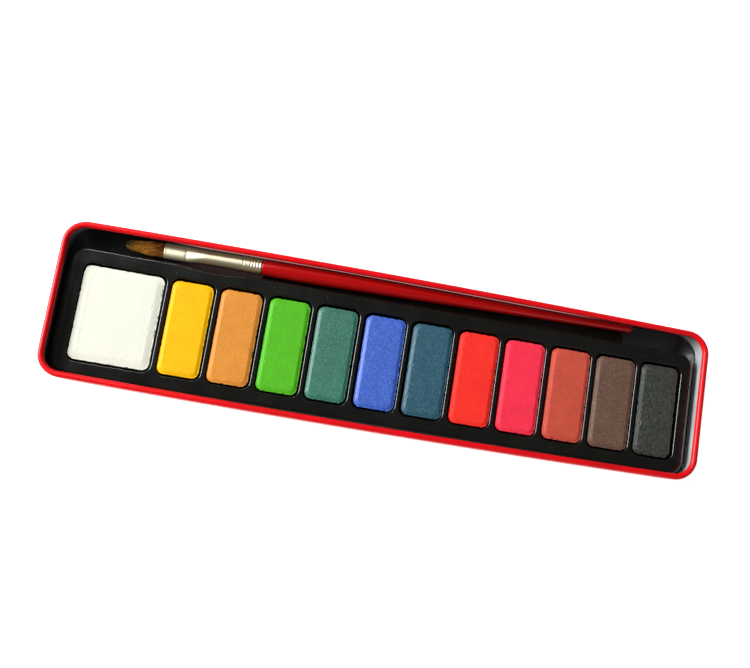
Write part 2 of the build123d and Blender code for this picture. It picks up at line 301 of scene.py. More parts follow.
def rolled_tinplate(colours):
    """Rolled tinplate, clear lacquered: milky silver under a thin gloss, with fine lines."""
    material, add, place = start_material("clear_lacquered_tinplate")
    steel = colours.tinplate
    drawn_out = add("Mapping", {"Scale": (0.02, 1.0, 1.0)}, {"Vector": place})
    # Rolling lines are hundredths of a millimetre apart: drawn coarser, so that they show
    lines = add(
        "TexNoise", {"Scale": per_mm(0.35), "Detail": 4.0, "Roughness": 0.6},
        {"Vector": drawn_out},
    )
    cloud = add("TexNoise", {"Scale": per_mm(6.0), "Detail": 3.0}, {"Vector": place})
    base = vary(add, shade(steel, 0.84), shade(steel, 1.05), cloud)
    rough = add(
        "MapRange", {"From Min": 0.3, "From Max": 0.7, "To Min": 0.4, "To Max": 0.54},
        {"Value": lines},
    )
    normal = add("Bump", {"Strength": 0.25, "Distance": 0.01 * MM}, {"Height": lines})
    # Painted light: a glow set by position, low on the back wall and below the handle's top
    x, y, z = (add("SeparateXYZ", None, {"Vector": place}, axis) for axis in "XYZ")
    sideways = add("Math", {"operation": "ABSOLUTE"}, {0: x})
    before = {}
    for source, (start, full) in zip((sideways, y, z, z), PAINTED_GLOW_LIMITS):
        painted_glow = add(
            "MapRange", {"From Min": start * MM, "From Max": full * MM, "To Max": PAINTED_GLOW},
            {"Value": source, **before},
        )
        before = {"To Max": painted_glow}
    finish_material(
        add,
        {"Metallic": 0.25, "IOR": 1.5, "Coat Weight": 1.0, "Coat Roughness": 0.05,
         "Emission Color": shade(from_hex(PAINTED_GLOW_COLOUR))},
        base, rough, normal, {"Emission Strength": painted_glow},
    )
    return material


def sheared_steel(colours):
    """The sheet's sheared edge, never lacquered: bright, with the burr of the cutter."""
    material, add, place = start_material("sheared_steel_edge")
    steel = colours.tinplate
    # The burr is under a tenth of a millimetre: drawn coarser, so that it shows
    burr = add("TexNoise", {"Scale": per_mm(0.3), "Detail": 4.0}, {"Vector": place})
    base = add(
        "Mix", {"data_type": "RGBA", 6: shade(steel, 0.7), 7: shade(steel, 1.1)}, {0: burr}, 2
    )
    normal = add("Bump", {"Strength": 0.5, "Distance": 0.03 * MM}, {"Height": burr})
    finish_material(add, {"Metallic": 1.0, "Roughness": 0.3}, base, None, normal)
    return material


def formed_black_polystyrene(colours):
    """Polystyrene sheet drawn over a mould: satin black, slightly clouded, with dust on it."""
    material, add, place = start_material("vacuum_formed_black_polystyrene")
    black = colours.tray
    cloud = add("TexNoise", {"Scale": per_mm(9.0), "Detail": 4.0}, {"Vector": place})
    # The mould's grain and the dust are about 0.1 mm: drawn coarser, so that they show
    grain = add(
        "TexNoise", {"Scale": per_mm(0.45), "Detail": 3.0, "Roughness": 0.6}, {"Vector": place}
    )
    dust = add(
        "TexNoise", {"Scale": per_mm(0.32), "Detail": 1.0, "Roughness": 0.4}, {"Vector": place}
    )
    base = vary(add, shade(black, 0.75), shade(black, 1.3), cloud)
    base = vary(add, base, shade(from_hex(DUST)), dust, (0.775, 0.83))
    rough = add(
        "MapRange", {"From Min": 0.3, "From Max": 0.7, "To Min": 0.17, "To Max": 0.25},
        {"Value": cloud},
    )
    normal = add("Bump", {"Strength": 0.4, "Distance": 0.008 * MM}, {"Height": grain})
    finish_material(add, {"IOR": 1.59}, base, rough, normal)
    return material


def pressed_pigment(name, colour):
    """Pigment and gum pressed in a die: a fine powder, dully shining where gum has come up."""
    material, add, place = start_material("pressed_pigment_" + name)
    gloss = GLOSS[name]
    # White shows every fleck, so its powder is kept calm
    uneven = 0.015 if name == "white" else 0.05 + 0.1 * gloss
    grit_and_shade = 0.15 if name == "white" else 0.35 + 0.4 * gloss
    paler = tuple(c + 0.08 * gloss * (1.0 - c) for c in colour)
    cloud = add(
        "TexNoise", {"Scale": per_mm(5.0), "Detail": 4.0, "Roughness": 0.6}, {"Vector": place}
    )
    # Ground pigment is finer than 0.05 mm: drawn at ten times that, so that it shows
    powder = add(
        "TexNoise", {"Scale": per_mm(0.5), "Detail": 3.0, "Roughness": 0.7}, {"Vector": place}
    )
    base = vary(add, shade(colour, 1.0 - uneven), shade(colour, 1.0 + uneven), cloud)
    # The powder's speckle, with painted shade in its low spots and painted sheen on its high ones
    base = vary(add, base, shade(colour, 0.7), powder, (0.3, 0.5), (grit_and_shade, 0.0))
    base = vary(add, base, shade(paler, 1.12 + 0.3 * gloss), powder, (0.5, 0.72), (0.0, grit_and_shade))
    rough = add(
        "MapRange",
        {"From Min": 0.3, "From Max": 0.7, "To Min": 0.46 - 0.06 * gloss, "To Max": 0.6},
        {"Value": powder},
    )
    normal = add("Bump", {"Strength": 0.55, "Distance": 0.06 * MM}, {"Height": powder})
    finish_material(add, {"IOR": 1.5, "Specular IOR Level": gloss}, base, rough, normal)
    return material


def dipped_beech(colours):
    """Turned beech dipped in red lacquer: deep gloss over a faint grain along the handle."""
    material, add, place = start_material("dip_lacquered_beech")
    red = colours.handle
    drawn_out = add("Mapping", {"Scale": (0.04, 1.0, 1.0)}, {"Vector": place})
    fibres = add(
        "TexNoise", {"Scale": per_mm(0.6), "Detail": 4.0, "Roughness": 0.6}, {"Vector": drawn_out}
    )
    # Beech pores are about 0.06 mm wide: drawn wider, so that they show
    pores = add("TexNoise", {"Scale": per_mm(0.22), "Detail": 2.0}, {"Vector": drawn_out})
    base = vary(add, shade(red, 0.84), shade(red, 1.1), fibres)
    base = vary(add, base, shade(red, 0.5), pores, (0.66, 0.74), (0.0, 0.6))
    rough = add(
        "MapRange", {"From Min": 0.3, "From Max": 0.7, "To Min": 0.26, "To Max": 0.38},
        {"Value": fibres},
    )
    normal = add("Bump", {"Strength": 0.2, "Distance": 0.012 * MM}, {"Height": fibres})
    finish_material(
        add, {"IOR": 1.5, "Specular IOR Level": 0.3, "Coat Weight": 0.4, "Coat Roughness": 0.09},
        base, rough, normal,
    )
    return material


def drawn_aluminium(colours):
    """Aluminium tube, drawn and then turned: fine rings that spread the light along it."""
    material, add, place = start_material("drawn_aluminium_tube")
    metal = colours.ferrule
    squeezed = add("Mapping", {"Scale": (1.0, 0.1, 0.1)}, {"Vector": place})
    # The lathe's rings are about 0.05 mm apart: drawn coarser, so that they show
    rings = add(
        "TexNoise", {"Scale": per_mm(0.25), "Detail": 4.0, "Roughness": 0.6}, {"Vector": squeezed}
    )
    spots = add(
        "TexNoise", {"Scale": per_mm(0.5), "Detail": 5.0, "Roughness": 0.7}, {"Vector": place}
    )
    base = vary(add, shade(metal), shade(metal, 0.4), spots, (0.6, 0.72))
    rough = add(
        "MapRange", {"From Min": 0.3, "From Max": 0.75, "To Min": 0.38, "To Max": 0.54},
        {"Value": spots},
    )
    around = add("Tangent", {"direction_type": "RADIAL", "axis": "X"})
    normal = add("Bump", {"Strength": 0.35, "Distance": 0.015 * MM}, {"Height": rings})
    normal = add(
        "Bump", {"Strength": 0.3, "Distance": 0.03 * MM}, {"Height": spots, "Normal": normal}
    )
    finish_material(
        add, {"Metallic": 1.0, "Anisotropic": 0.55, "Anisotropic Rotation": 0.25},
        base, rough, normal, {"Tangent": around},
    )
    return material


def brush_hair(colours, mouth_x, tip_x):
    """Brown hair, washed and set: silky, dark at its root, golden half way, dull at its tip."""
    material, add, place = start_material("washed_brown_brush_hair")
    along_x = add("SeparateXYZ", None, {"Vector": place}, "X")
    along = add(
        "MapRange", {"From Min": mouth_x * MM, "From Max": tip_x * MM}, {"Value": along_x}
    )
    stops = [
        (0.0, shade(colours.hair_root, 0.75)),
        (0.22, shade(colours.hair_root, 1.15)),
        (0.45, shade(colours.hair_middle)),
        (0.68, shade(colours.hair_middle, 0.85)),
        (0.92, shade(colours.hair_tip)),
    ]
    base = add("ValToRGB", {"stops": stops}, {"Fac": along})
    drawn_out = add("Mapping", {"Scale": (0.1, 1.0, 1.0)}, {"Vector": place})
    # Hairs lie in locks of a few together, which show where single hairs of 0.1 mm don't
    locks = add(
        "TexNoise", {"Scale": per_mm(0.3), "Detail": 3.0, "Roughness": 0.7}, {"Vector": drawn_out}
    )
    # Painted shade between the locks, then painted highlights along them
    base = vary(add, base, shade(from_hex(HAIR_SHADOW)), locks, (0.34, 0.55), (0.9, 0.0))
    base = vary(add, base, shade(from_hex(HAIR_HIGHLIGHT)), locks, (0.55, 0.68), (0.0, 0.6))
    finish_material(add, {"Roughness": 0.45, "IOR": 1.5, "Specular IOR Level": 0.12}, base)
    return material


def white_paper(colours):
    """A roll of white paper under the tin, lit so that it leaves no tone of its own."""
    material, add, place = start_material("matt_white_paper")
    white = colours.floor
    # Pulp is far finer than this: drawn as soft clouds, so that it shows at all
    pulp = add("TexNoise", {"Scale": per_mm(2.0), "Detail": 3.0}, {"Vector": place})
    base = add(
        "Mix", {"data_type": "RGBA", 6: shade(white, 0.9), 7: shade(white)}, {0: pulp}, 2
    )
    finish_material(
        add,
        {"Roughness": 0.9, "Specular IOR Level": 0.1, "Emission Strength": 0.9,
         "Emission Color": shade(white)},
        base,
    )
    return material


# Mesh making

def make_piece(name, points, faces, materials, marks=None, smooth=True):
    """Make an object from points in millimetres, with one material number for each face."""
    mesh = bpy.data.meshes.new(name)
    mesh.from_pydata([(x * MM, y * MM, z * MM) for x, y, z in points], [], faces)
    for material in materials:
        mesh.materials.append(material)
    if marks:
        mesh.polygons.foreach_set("material_index", marks)
    mesh.polygons.foreach_set("use_smooth", [smooth] * len(mesh.polygons))
    mesh.update()
    piece = bpy.data.objects.new(name, mesh)
    bpy.context.scene.collection.objects.link(piece)
    return piece


def turn_faces_out(piece):
    """Point every face of a closed mesh outwards."""
    shape = bmesh.new()
    shape.from_mesh(piece.data)
    bmesh.ops.recalc_face_normals(shape, faces=shape.faces)
    shape.to_mesh(piece.data)
    shape.free()


def join_rings(first, count, rings, capped=True):
    """Faces along rings of the same count, from the first ring's first point, with end caps."""
    faces = []
    for row in range(first, first + (rings - 1) * count, count):
        for i in range(count):
            j = (i + 1) % count
            faces.append((row + i, row + j, row + j + count, row + i + count))
    if capped:
        faces.append(tuple(range(first + count - 1, first - 1, -1)))
        faces.append(tuple(range(first + (rings - 1) * count, first + rings * count)))
    return faces


def arc(middle, radius, start, end, steps):
    """Points on an arc, as pairs, between two angles in degrees."""
    turn = (end - start) / steps
    angles = [math.radians(start + turn * i) for i in range(steps + 1)]
    return [(middle[0] + radius * math.cos(a), middle[1] + radius * math.sin(a)) for a in angles]


def rounded_ring(left, right, front, back, corner, along, across, round_steps, back_corner=None):
    """Points round a rounded rectangle, the same count for any size, from its right side."""
    rear = back_corner or corner
    ring = arc((right - rear, back - rear), rear, 0, 90, round_steps)
    span = right - left - 2 * rear
    ring += [(right - rear - span * i / along, back) for i in range(1, along)]
    ring += arc((left + rear, back - rear), rear, 90, 180, round_steps)
    depth = back - front - rear - corner
    ring += [(left, back - rear - depth * i / across) for i in range(1, across)]
    ring += arc((left + corner, front + corner), corner, 180, 270, round_steps)
    span = right - left - 2 * corner
    ring += [(left + corner + span * i / along, front) for i in range(1, along)]
    ring += arc((right - corner, front + corner), corner, 270, 360, round_steps)
    ring += [(right, front + corner + depth * i / across) for i in range(1, across)]
    return ring


def bell(distance, width):
    """A smooth bump: 1 in its middle, falling to nothing on both sides."""
    return math.exp(-(distance / width)**2)


def eased(share):
    """Ease in and out between 0 and 1."""
    share = max(0.0, min(1.0, share))
    return share * share * (3 - 2 * share)


# The tin

# Steps round a corner of the tin, along a long side and along an end
TIN_CORNER_STEPS = 20
TIN_SIDE_STEPS = 200
TIN_END_STEPS = 16
# Rings on the tin's floor, in from the wall
FLOOR_RINGS = (9.0, 4.0)
# Where the rolled rim stops, under itself, in degrees
CURL_END = -105
# Sides of the sheet, as numbers of their materials
OUTSIDE, INSIDE, SHEARED = 0, 1, 2


def tin_course(sizes):
    """Points and outward directions round the tin's outer wall, seen from above."""
    half_length = size_mm("tin_body", 0) / 2
    half_width = size_mm("tin_body", 1) / 2
    corner = sizes.corner / MM
    bow = sizes.bow / MM
    side_radius = (half_length**2 + bow**2) / (2 * bow)
    side_y = half_width - side_radius
    corner_x = half_length - corner
    corner_y = side_y + math.sqrt((side_radius - corner)**2 - corner_x**2)
    lean = math.atan2(corner_y - side_y, corner_x)
    course = []

    def add_arc(middle_x, middle_y, radius, start, end, steps):
        for i in range(steps):
            angle = start + (end - start) * i / steps
            way = (math.cos(angle), math.sin(angle))
            course.append((middle_x + radius * way[0], middle_y + radius * way[1], *way))

    for sign, base in ((1, 0.0), (-1, math.pi)):
        end = base + math.pi
        x, y = sign * corner_x, sign * corner_y
        add_arc(x, y, corner, base, base + lean, TIN_CORNER_STEPS)
        add_arc(0, sign * side_y, side_radius, base + lean, end - lean, TIN_SIDE_STEPS)
        add_arc(-x, y, corner, end - lean, end, TIN_CORNER_STEPS)
        for i in range(TIN_END_STEPS):
            course.append((-sign * half_length, y * (1 - 2 * i / TIN_END_STEPS), -sign, 0.0))
    return course


def tin_section(sizes, height):
    """The sheet's outline across the wall: distance in from the outside, height, and side."""
    sheet = sizes.sheet / MM
    foot = sizes.foot / MM
    curl = sizes.curl / MM
    level = height - curl
    inner_foot = foot - sheet
    outer = [(inset, 0.0) for inset in (*FLOOR_RINGS, foot + 0.4)]
    outer += arc((foot, foot), foot, 270, 180, 10)
    outer += [(0.0, foot + (level - foot) * share) for share in (0.04, 0.35, 0.65, 0.96)]
    outer += arc((curl, level), curl, 180, CURL_END, 30)
    inner = arc((curl, level), curl - sheet, CURL_END, 180, 20)
    inner += [(sheet, inner_foot + (level - inner_foot) * share) for share in (0.96, 0.5, 0.1)]
    inner += arc((foot, foot), inner_foot, 180, 270, 8)
    inner += [(inset, sheet) for inset in reversed(FLOOR_RINGS)]
    return [(*spot, OUTSIDE) for spot in outer] + [(*spot, INSIDE) for spot in inner]


class PAINTSET_OT_tin(bpy.types.Operator):
    """Make the drawn tin with its curled rim"""

    bl_idname = "paint_set.tin"
    bl_label = "Tin"

    def execute(self, context):
        sizes = context.scene.tin_sizes
        colours = context.scene.other_colours
        course = tin_course(sizes)
        section = tin_section(sizes, size_mm("tin_body", 2))
        points = []
        for inset, level, _ in section:
            points += [(x - nx * inset, y - ny * inset, level) for x, y, nx, ny in course]
        marks = []
        for (_, _, side), (_, _, next_side) in zip(section, section[1:]):
            marks += [side if side == next_side else SHEARED] * len(course)
        marks += [OUTSIDE, INSIDE]
        faces = join_rings(0, len(course), len(section))
        materials = [stoved_red_lacquer(colours), rolled_tinplate(colours), sheared_steel(colours)]
        tin = make_piece("tin_shell", points, faces, materials, marks)
        turn_faces_out(tin)
        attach(tin, "paint_box")
        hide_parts("tin_body")
        return {"FINISHED"}


# The tray

# How far the platform's top stands in from the tray's ends, and out past the row of cakes
END_LAND = 2.6
FRONT_LAND = 5.15
BACK_LAND = 5.5
# How far its sides spread on their way down to the ledge
END_SPREAD = 2.3
FRONT_SPREAD = 1.3
BACK_SPREAD = 0.8
# The finger recess in its back edge, with its place counted from the ferrule's mouth
RECESS_PLACE = 19.0
RECESS_DEPTH = 0.8
RECESS_WIDTH = 24.0
# Room between the tray and the tin's front and back walls
TRAY_SLACK = 0.7
# Lean of a well's walls, so that the sheet comes off its mould
WELL_DRAFT = math.tan(math.radians(3.0))
# Where the flat floor of a well starts, in from its mouth
WELL_FLOOR = 2.2
# Steps along, across and round each corner: of the tray, the large well and the narrow ones
TRAY_STEPS = (190, 30, 12)
LARGE_WELL_STEPS = (30, 36, 8)
NARROW_WELL_STEPS = (16, 36, 8)


def platform_bounds():
    """Left, right, front and back of the platform's top, and of its foot on the ledge."""
    low, high = box_mm("paint_tray")
    front = box_mm("cake_white")[0].y - FRONT_LAND
    back = box_mm("cake_black")[1].y + BACK_LAND
    left, right = low.x + END_LAND, high.x - END_LAND
    foot = (left - END_SPREAD, right + END_SPREAD, front - FRONT_SPREAD, back + BACK_SPREAD)
    return (left, right, front, back), foot


def tray_ring(bounds, corner, level, recess=None, back_corner=None):
    """One ring of the tray, with the finger recess cut into the platform's back edge."""
    ring = []
    for x, y in rounded_ring(*bounds, corner, *TRAY_STEPS, back_corner):
        if recess and y > 0 and abs(x - recess[0]) < recess[2]:
            y = min(y, recess[1] - math.sqrt(recess[2]**2 - (x - recess[0])**2))
        ring.append((x, y, level))
    return ring


def bridge(shape, loops):
    """Fill the rows between loops with quads."""
    for first, second in zip(loops, loops[1:]):
        count = len(first)
        for i in range(count):
            j = (i + 1) % count
            shape.faces.new((first[i], first[j], second[j], second[i]))


def make_well(shape, cake, sizes, platform):
    """Make one well and return the loop where it meets the platform."""
    low, high = box_mm(cake)
    gap = sizes.gap / MM
    lip = sizes.lip / MM
    corner = sizes.well_corner / MM
    steps = LARGE_WELL_STEPS if cake == "cake_white" else NARROW_WELL_STEPS
    floor = low.z
    depth = platform - lip - floor
    # Each row is how far the well has grown past its mouth, and its level
    rows = [(lip + 0.15, platform)]
    rows += [(lip - x, platform - lip + z) for x, z in arc((0.0, 0.0), lip, 90, 0, 6)]
    for share in (0.06, 0.5, 0.88):
        rows.append((-WELL_DRAFT * depth * share, platform - lip - depth * share))
    rows.append((-WELL_DRAFT * depth - 0.25, floor + 0.1))
    rows.append((-WELL_DRAFT * depth - 0.6, floor))
    rows.append((-WELL_FLOOR, floor))
    loops = []
    for grow, level in rows:
        ring = rounded_ring(
            low.x - gap - grow, high.x + gap + grow, low.y - gap - grow, high.y + gap + grow,
            corner + grow, *steps,
        )
        loops.append([shape.verts.new((x * MM, y * MM, level * MM)) for x, y in ring])
    bridge(shape, loops)
    shape.faces.new(loops[-1])
    return loops[0]


class PAINTSET_OT_tray(bpy.types.Operator):
    """Make the formed tray with a well for each cake"""

    bl_idname = "paint_set.tray"
    bl_label = "Tray"

    def execute(self, context):
        sizes = context.scene.tray_sizes
        ledge, platform = sizes.ledge / MM, sizes.platform / MM
        edge = sizes.edge / MM
        corner = sizes.platform_corner / MM
        tray_corner, tray_back = sizes.tray_corner / MM, sizes.back_corner / MM
        low, high = box_mm("paint_tray")
        low.y += TRAY_SLACK
        high.y -= TRAY_SLACK
        top, foot = platform_bounds()
        recess_x = box_mm("brush_ferrule")[0].x + RECESS_PLACE
        recess_radius = (RECESS_WIDTH**2 / 4 + RECESS_DEPTH**2) / (2 * RECESS_DEPTH)
        recess_y = top[3] - RECESS_DEPTH + recess_radius

        def platform_ring(share, inset, level):
            mixed = [f + (t - f) * share for t, f in zip(top, foot)]
            bounds = (mixed[0] + inset, mixed[1] - inset, mixed[2] + inset, mixed[3] - inset)
            round_off = corner + END_SPREAD * (1 - share) - inset
            recess = (recess_x, recess_y, recess_radius + inset)
            return tray_ring(bounds, round_off, level, recess)

        rings = []
        # The ledge ends in a short skirt with a rounded edge
        for inset, down in ((0.0, 0.5), (0.0, 0.06), (0.06, 0.0)):
            bounds = (low.x + inset, high.x - inset, low.y + inset, high.y - inset)
            rings.append(tray_ring(bounds, tray_corner, ledge - down, None, tray_back))
        # The platform's side rises from a tight fold in the ledge, and rounds over at its top
        half_way = (platform - ledge) * 0.45
        for share, rise in ((-0.06, 0.0), (0.015, 0.06), (0.06, 0.25), (0.45, half_way)):
            rings.append(platform_ring(share, 0.0, ledge + rise))
        for x, z in arc((0.0, 0.0), edge, 0, 90, 6):
            fall = edge - z
            share = 1.0 - fall / (platform - ledge)
            rings.append(platform_ring(share, edge - x, platform - fall))
        rings.append(platform_ring(1.0, edge + 0.15, platform))
        shape = bmesh.new()
        loops = [[shape.verts.new(Vector(p) * MM) for p in ring] for ring in rings]
        bridge(shape, loops)
        borders = [loops[-1]]
        for name in ("white", *NARROW_CAKES):
            borders.append(make_well(shape, "cake_" + name, sizes, platform))
        edges = []
        for border in borders:
            for pair in zip(border, border[1:] + border[:1]):
                edges.append(shape.edges.get(pair) or shape.edges.new(pair))
        bmesh.ops.triangle_fill(shape, use_beauty=True, use_dissolve=False, edges=edges)
        bmesh.ops.recalc_face_normals(shape, faces=shape.faces)
        if sum(face.normal.z * face.calc_area() for face in shape.faces) < 0:
            bmesh.ops.reverse_faces(shape, faces=shape.faces)
        for face in shape.faces:
            face.smooth = True
        black = formed_black_polystyrene(context.scene.other_colours)
        tray = make_piece("formed_tray", [], [], [black])
        shape.to_mesh(tray.data)
        shape.free()
        skin = tray.modifiers.new("skin", "SOLIDIFY")
        skin.thickness = sizes.skin
        skin.offset = -1.0
        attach(tray, "paint_box")
        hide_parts("paint_tray")
        return {"FINISHED"}


# The cakes

# Room behind every cake, and how much narrower the worn black one is
BACK_ROOM = 0.35
BLACK_NARROWER = 0.7
# Spacing of the points round a cake, and of the rows down its bevel
RING_SPACING = 0.27
BEVEL_SPACING = 0.2
# Width of the lip that the die leaves round the edge
LIP_WIDTH = 0.32
# Rings of a cake where crumbs start, where the top's waves start, and on the shoulder
CRUMB_ROW = 3
WAVE_ROW = 4
SHOULDER_ROW = 6
# Rings on the flat top, as shares of the way from the middle to the edge
TOP_RINGS = (0.985, 0.95, 0.9, 0.83, 0.75, 0.65, 0.54, 0.42, 0.3, 0.18, 0.07)


def crumble(x, y, seed, size):
    """How far a cake's edge has crumbled at a place, from 0 to 1."""
    coarse = noise.noise(Vector((x / size / 2.6, y / size / 2.6, seed)))
    fine = noise.noise(Vector((x / size, y / size, seed + 7.0)))
    return max(0.0, min(1.0, 0.9 * coarse + 0.7 * fine))


def make_cake(name, sizes, bevel, colour, seed):
    """One cake: a straight side, a bevel with a crumbly foot, and a slightly uneven top."""
    low, high = box_mm("cake_" + name)
    slip = SLIPPED.get(name, 0.0)
    left, right, front, back = low.x + slip, high.x + slip, low.y, high.y - BACK_ROOM
    if name == "black":
        right -= BLACK_NARROWER
    corner, drop, crumb = sizes.corner / MM, sizes.drop / MM, sizes.crumb / MM
    top = high.z
    shoulder = top - drop
    along = int((right - left) / RING_SPACING)
    across = int((back - front) / RING_SPACING)
    middle = ((left + right) / 2, (front + back) / 2)
    # Each row is how far it stands in from the cake's side, and its level
    rows = [(0.5, low.z), (0.05, low.z + 0.5)]
    rows += [(0.0, low.z + (shoulder - low.z) * share) for share in (0.4, 0.7, 0.88, 0.97)]
    rows += [(0.06, shoulder + 0.07), (0.18, shoulder + 0.09), (LIP_WIDTH, shoulder + 0.03)]
    steps = max(8, int(bevel / BEVEL_SPACING))
    for i in range(1, steps + 1):
        share = i / steps
        fall = (1 - share)**1.15
        rows.append((LIP_WIDTH + (bevel - LIP_WIDTH) * share, top - (drop - 0.03) * fall))
    rings = []
    for inset, level in rows:
        ring = rounded_ring(
            left + inset, right - inset, front + inset, back - inset,
            max(corner - inset * 0.5, 0.8), along, across, 12,
        )
        rings.append([(x, y, level) for x, y in ring])
    bevel_row = len(rows) - 1
    edge_ring = rings[-1]
    for share in TOP_RINGS:
        rings.append([
            (middle[0] + (x - middle[0]) * share, middle[1] + (y - middle[1]) * share, top)
            for x, y, _ in edge_ring
        ])
    points = []
    for row, ring in enumerate(rings):
        near = bell(row - SHOULDER_ROW, 1.6)
        rim = bell(row - bevel_row, 1.5)
        for x, y, z in ring:
            if CRUMB_ROW <= row <= bevel_row:
                bite = crumble(x, y, seed, crumb)
                pull = bite * (0.5 * near + 0.12 * rim)
                away = Vector((middle[0] - x, middle[1] - y))
                away.normalize()
                x += away.x * pull
                y += away.y * pull
                z -= bite * (0.28 * near + 0.16 * rim)
            if row >= WAVE_ROW:
                wave = noise.noise(Vector((x / 7.0, y / 9.0, seed * 3.1)))
                pit = noise.noise(Vector((x / 0.7, y / 0.7, seed * 5.3)))
                z += 0.05 * wave + 0.02 * pit
                z -= 0.05 if row > bevel_row else 0.03
            points.append((x, y, min(z, high.z)))
    faces = join_rings(0, len(edge_ring), len(rings))
    cake = make_piece("pressed_cake_" + name, points, faces, [pressed_pigment(name, colour)])
    turn_faces_out(cake)
    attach(cake, "paint_box")
    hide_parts("cake_" + name)


class PAINTSET_OT_cakes(bpy.types.Operator):
    """Make the twelve pressed cakes of paint"""

    bl_idname = "paint_set.cakes"
    bl_label = "Cakes"

    def execute(self, context):
        sizes = context.scene.cake_sizes
        paints = context.scene.paint_colours
        for seed, name in enumerate(("white", *NARROW_CAKES), 1):
            bevel = sizes.large_bevel if name == "white" else sizes.bevel
            make_cake(name, sizes, bevel / MM, getattr(paints, name), float(seed))
        return {"FINISHED"}


# The brush

# Points round the handle and the ferrule
TUBE_SIDES = 96
# How far the ferrule's worn mouth lies behind its full length
MOUTH_SET_BACK = 0.8
# Half sizes of the ferrule's flat mouth, and its radius where it has turned round
MOUTH_HALF_WIDTH = 2.85
MOUTH_HALF_HEIGHT = 1.35
ROUND_RADIUS = 2.65
# Crimps round the ferrule, as distances from its end on the handle
CRIMPS = (0.9, 1.9, 2.9, 3.9, 6.4)
FERRULE_STEPS = 230
HANDLE_STEPS = 260
# How far the handle's tang reaches into the ferrule
TANG = 6.0
# Radius of the handle's rounded end
HANDLE_END = 1.5
# Half sizes of the tuft where it leaves the ferrule, and how deep its roots are held
TUFT_HALF_WIDTH = 2.46
TUFT_HALF_HEIGHT = 0.97
ROOT_DEPTH = 1.2
# Rings of four points along one hair, and the seed of the hairs' random draws
HAIR_RINGS = 8
HAIR_SEED = 41


class BrushAxis:
    """The brush's axis: stations run along it, from the tip of the hair, in millimetres."""

    def __init__(self, lean):
        hair_low, hair_high = box_mm("brush_bristles")
        ferrule_low, ferrule_high = box_mm("brush_ferrule")
        handle_high = box_mm("brush_handle")[1]
        level = (ferrule_low.z + ferrule_high.z) / 2
        self.along = Vector((math.cos(lean), math.sin(lean), 0.0))
        self.side = Vector((-math.sin(lean), math.cos(lean), 0.0))
        self.up = Vector((0.0, 0.0, 1.0))
        self.tip = Vector((hair_low.x, (hair_low.y + hair_high.y) / 2, level))
        self.tip.y -= 0.5 * (hair_high.x - hair_low.x) * math.sin(lean)
        turn = math.cos(lean)
        self.mouth = (ferrule_low.x - hair_low.x) / turn + MOUTH_SET_BACK
        self.ferrule_end = (ferrule_high.x - hair_low.x) / turn
        self.handle_end = (handle_high.x - hair_low.x) / turn

    def place(self, station, sideways, upwards):
        """A point of the brush in the frame."""
        return self.tip + self.along * station + self.side * sideways + self.up * upwards


def turned_points(axis, stations):
    """Points of a tube round the brush's axis: station, half width and half height."""
    points = []
    for station, width, height in stations:
        for i in range(TUBE_SIDES):
            angle = 2 * math.pi * i / TUBE_SIDES
            spot = axis.place(station, width * math.cos(angle), height * math.sin(angle))
            points.append(tuple(spot))
    return points


def ferrule_radii(axis, sizes, station):
    """Half width and half height of the ferrule's outside at a station."""
    flat_end = axis.mouth + sizes.flat / MM
    round_start = flat_end + sizes.pinch / MM
    back = size_mm("brush_ferrule", 2) / 2
    share = eased((station - flat_end) / (round_start - flat_end))
    if station <= round_start:
        return tuple(
            mouth + (ROUND_RADIUS - mouth) * share
            for mouth in (MOUTH_HALF_WIDTH, MOUTH_HALF_HEIGHT)
        )
    along = (station - round_start) / (axis.ferrule_end - round_start)
    radius = ROUND_RADIUS + (back - ROUND_RADIUS) * along
    return radius, radius


class PAINTSET_OT_ferrule(bpy.types.Operator):
    """Make the ferrule, a tube pinched flat at its mouth and crimped on the handle"""

    bl_idname = "paint_set.ferrule"
    bl_label = "Ferrule"

    def execute(self, context):
        sizes = context.scene.brush_sizes
        axis = BrushAxis(sizes.lean)
        sheet = sizes.ferrule_sheet / MM
        length = axis.ferrule_end - axis.mouth
        stations = []
        for i in range(FERRULE_STEPS + 1):
            station = axis.mouth + length * i / FERRULE_STEPS
            width, height = ferrule_radii(axis, sizes, station)
            from_end = axis.ferrule_end - station
            dent = sum(0.13 * bell(from_end - crimp, 0.2) for crimp in CRIMPS)
            ridge = sum(0.03 * bell(abs(from_end - crimp) - 0.5, 0.18) for crimp in CRIMPS)
            mouth = 0.09 * bell(station - axis.mouth, 0.35)
            turn_in = 0.1 * bell(from_end, 0.12)
            change = ridge + mouth - dent - turn_in
            crease = 0.10 * bell(station - axis.mouth - sizes.flat / MM, 0.5)
            stations.append((station, width + min(change, 0.0), height + change - crease))
        # The tube turns back inside itself, and its last ring meets its first
        stations += [
            (station, width - sheet, height - sheet)
            for station, width, height in reversed(stations)
        ]
        points = turned_points(axis, stations)
        count = len(points)
        faces = join_rings(0, TUBE_SIDES, len(stations) + 1, False)
        faces = [tuple(v % count for v in face) for face in faces]
        ferrule = make_piece(
            "ferrule_tube", points, faces, [drawn_aluminium(context.scene.other_colours)]
        )
        turn_faces_out(ferrule)
        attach(ferrule, "brush")
        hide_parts("brush_ferrule")
        return {"FINISHED"}


def smooth_between(marks, share):
    """Value of a smooth curve through pairs of place and value."""
    for i in range(len(marks) - 1):
        (x0, y0), (x1, y1) = marks[i], marks[i + 1]
        if share <= x1 or i == len(marks) - 2:
            before = marks[max(i - 1, 0)]
            after = marks[min(i + 2, len(marks) - 1)]
            slope0 = (y1 - before[1]) / (x1 - before[0])
            slope1 = (after[1] - y0) / (after[0] - x0)
            t = (share - x0) / (x1 - x0)
            width = x1 - x0
            return (
                (2 * t**3 - 3 * t**2 + 1) * y0 + (t**3 - 2 * t**2 + t) * width * slope0
                + (3 * t**2 - 2 * t**3) * y1 + (t**3 - t**2) * width * slope1
            )


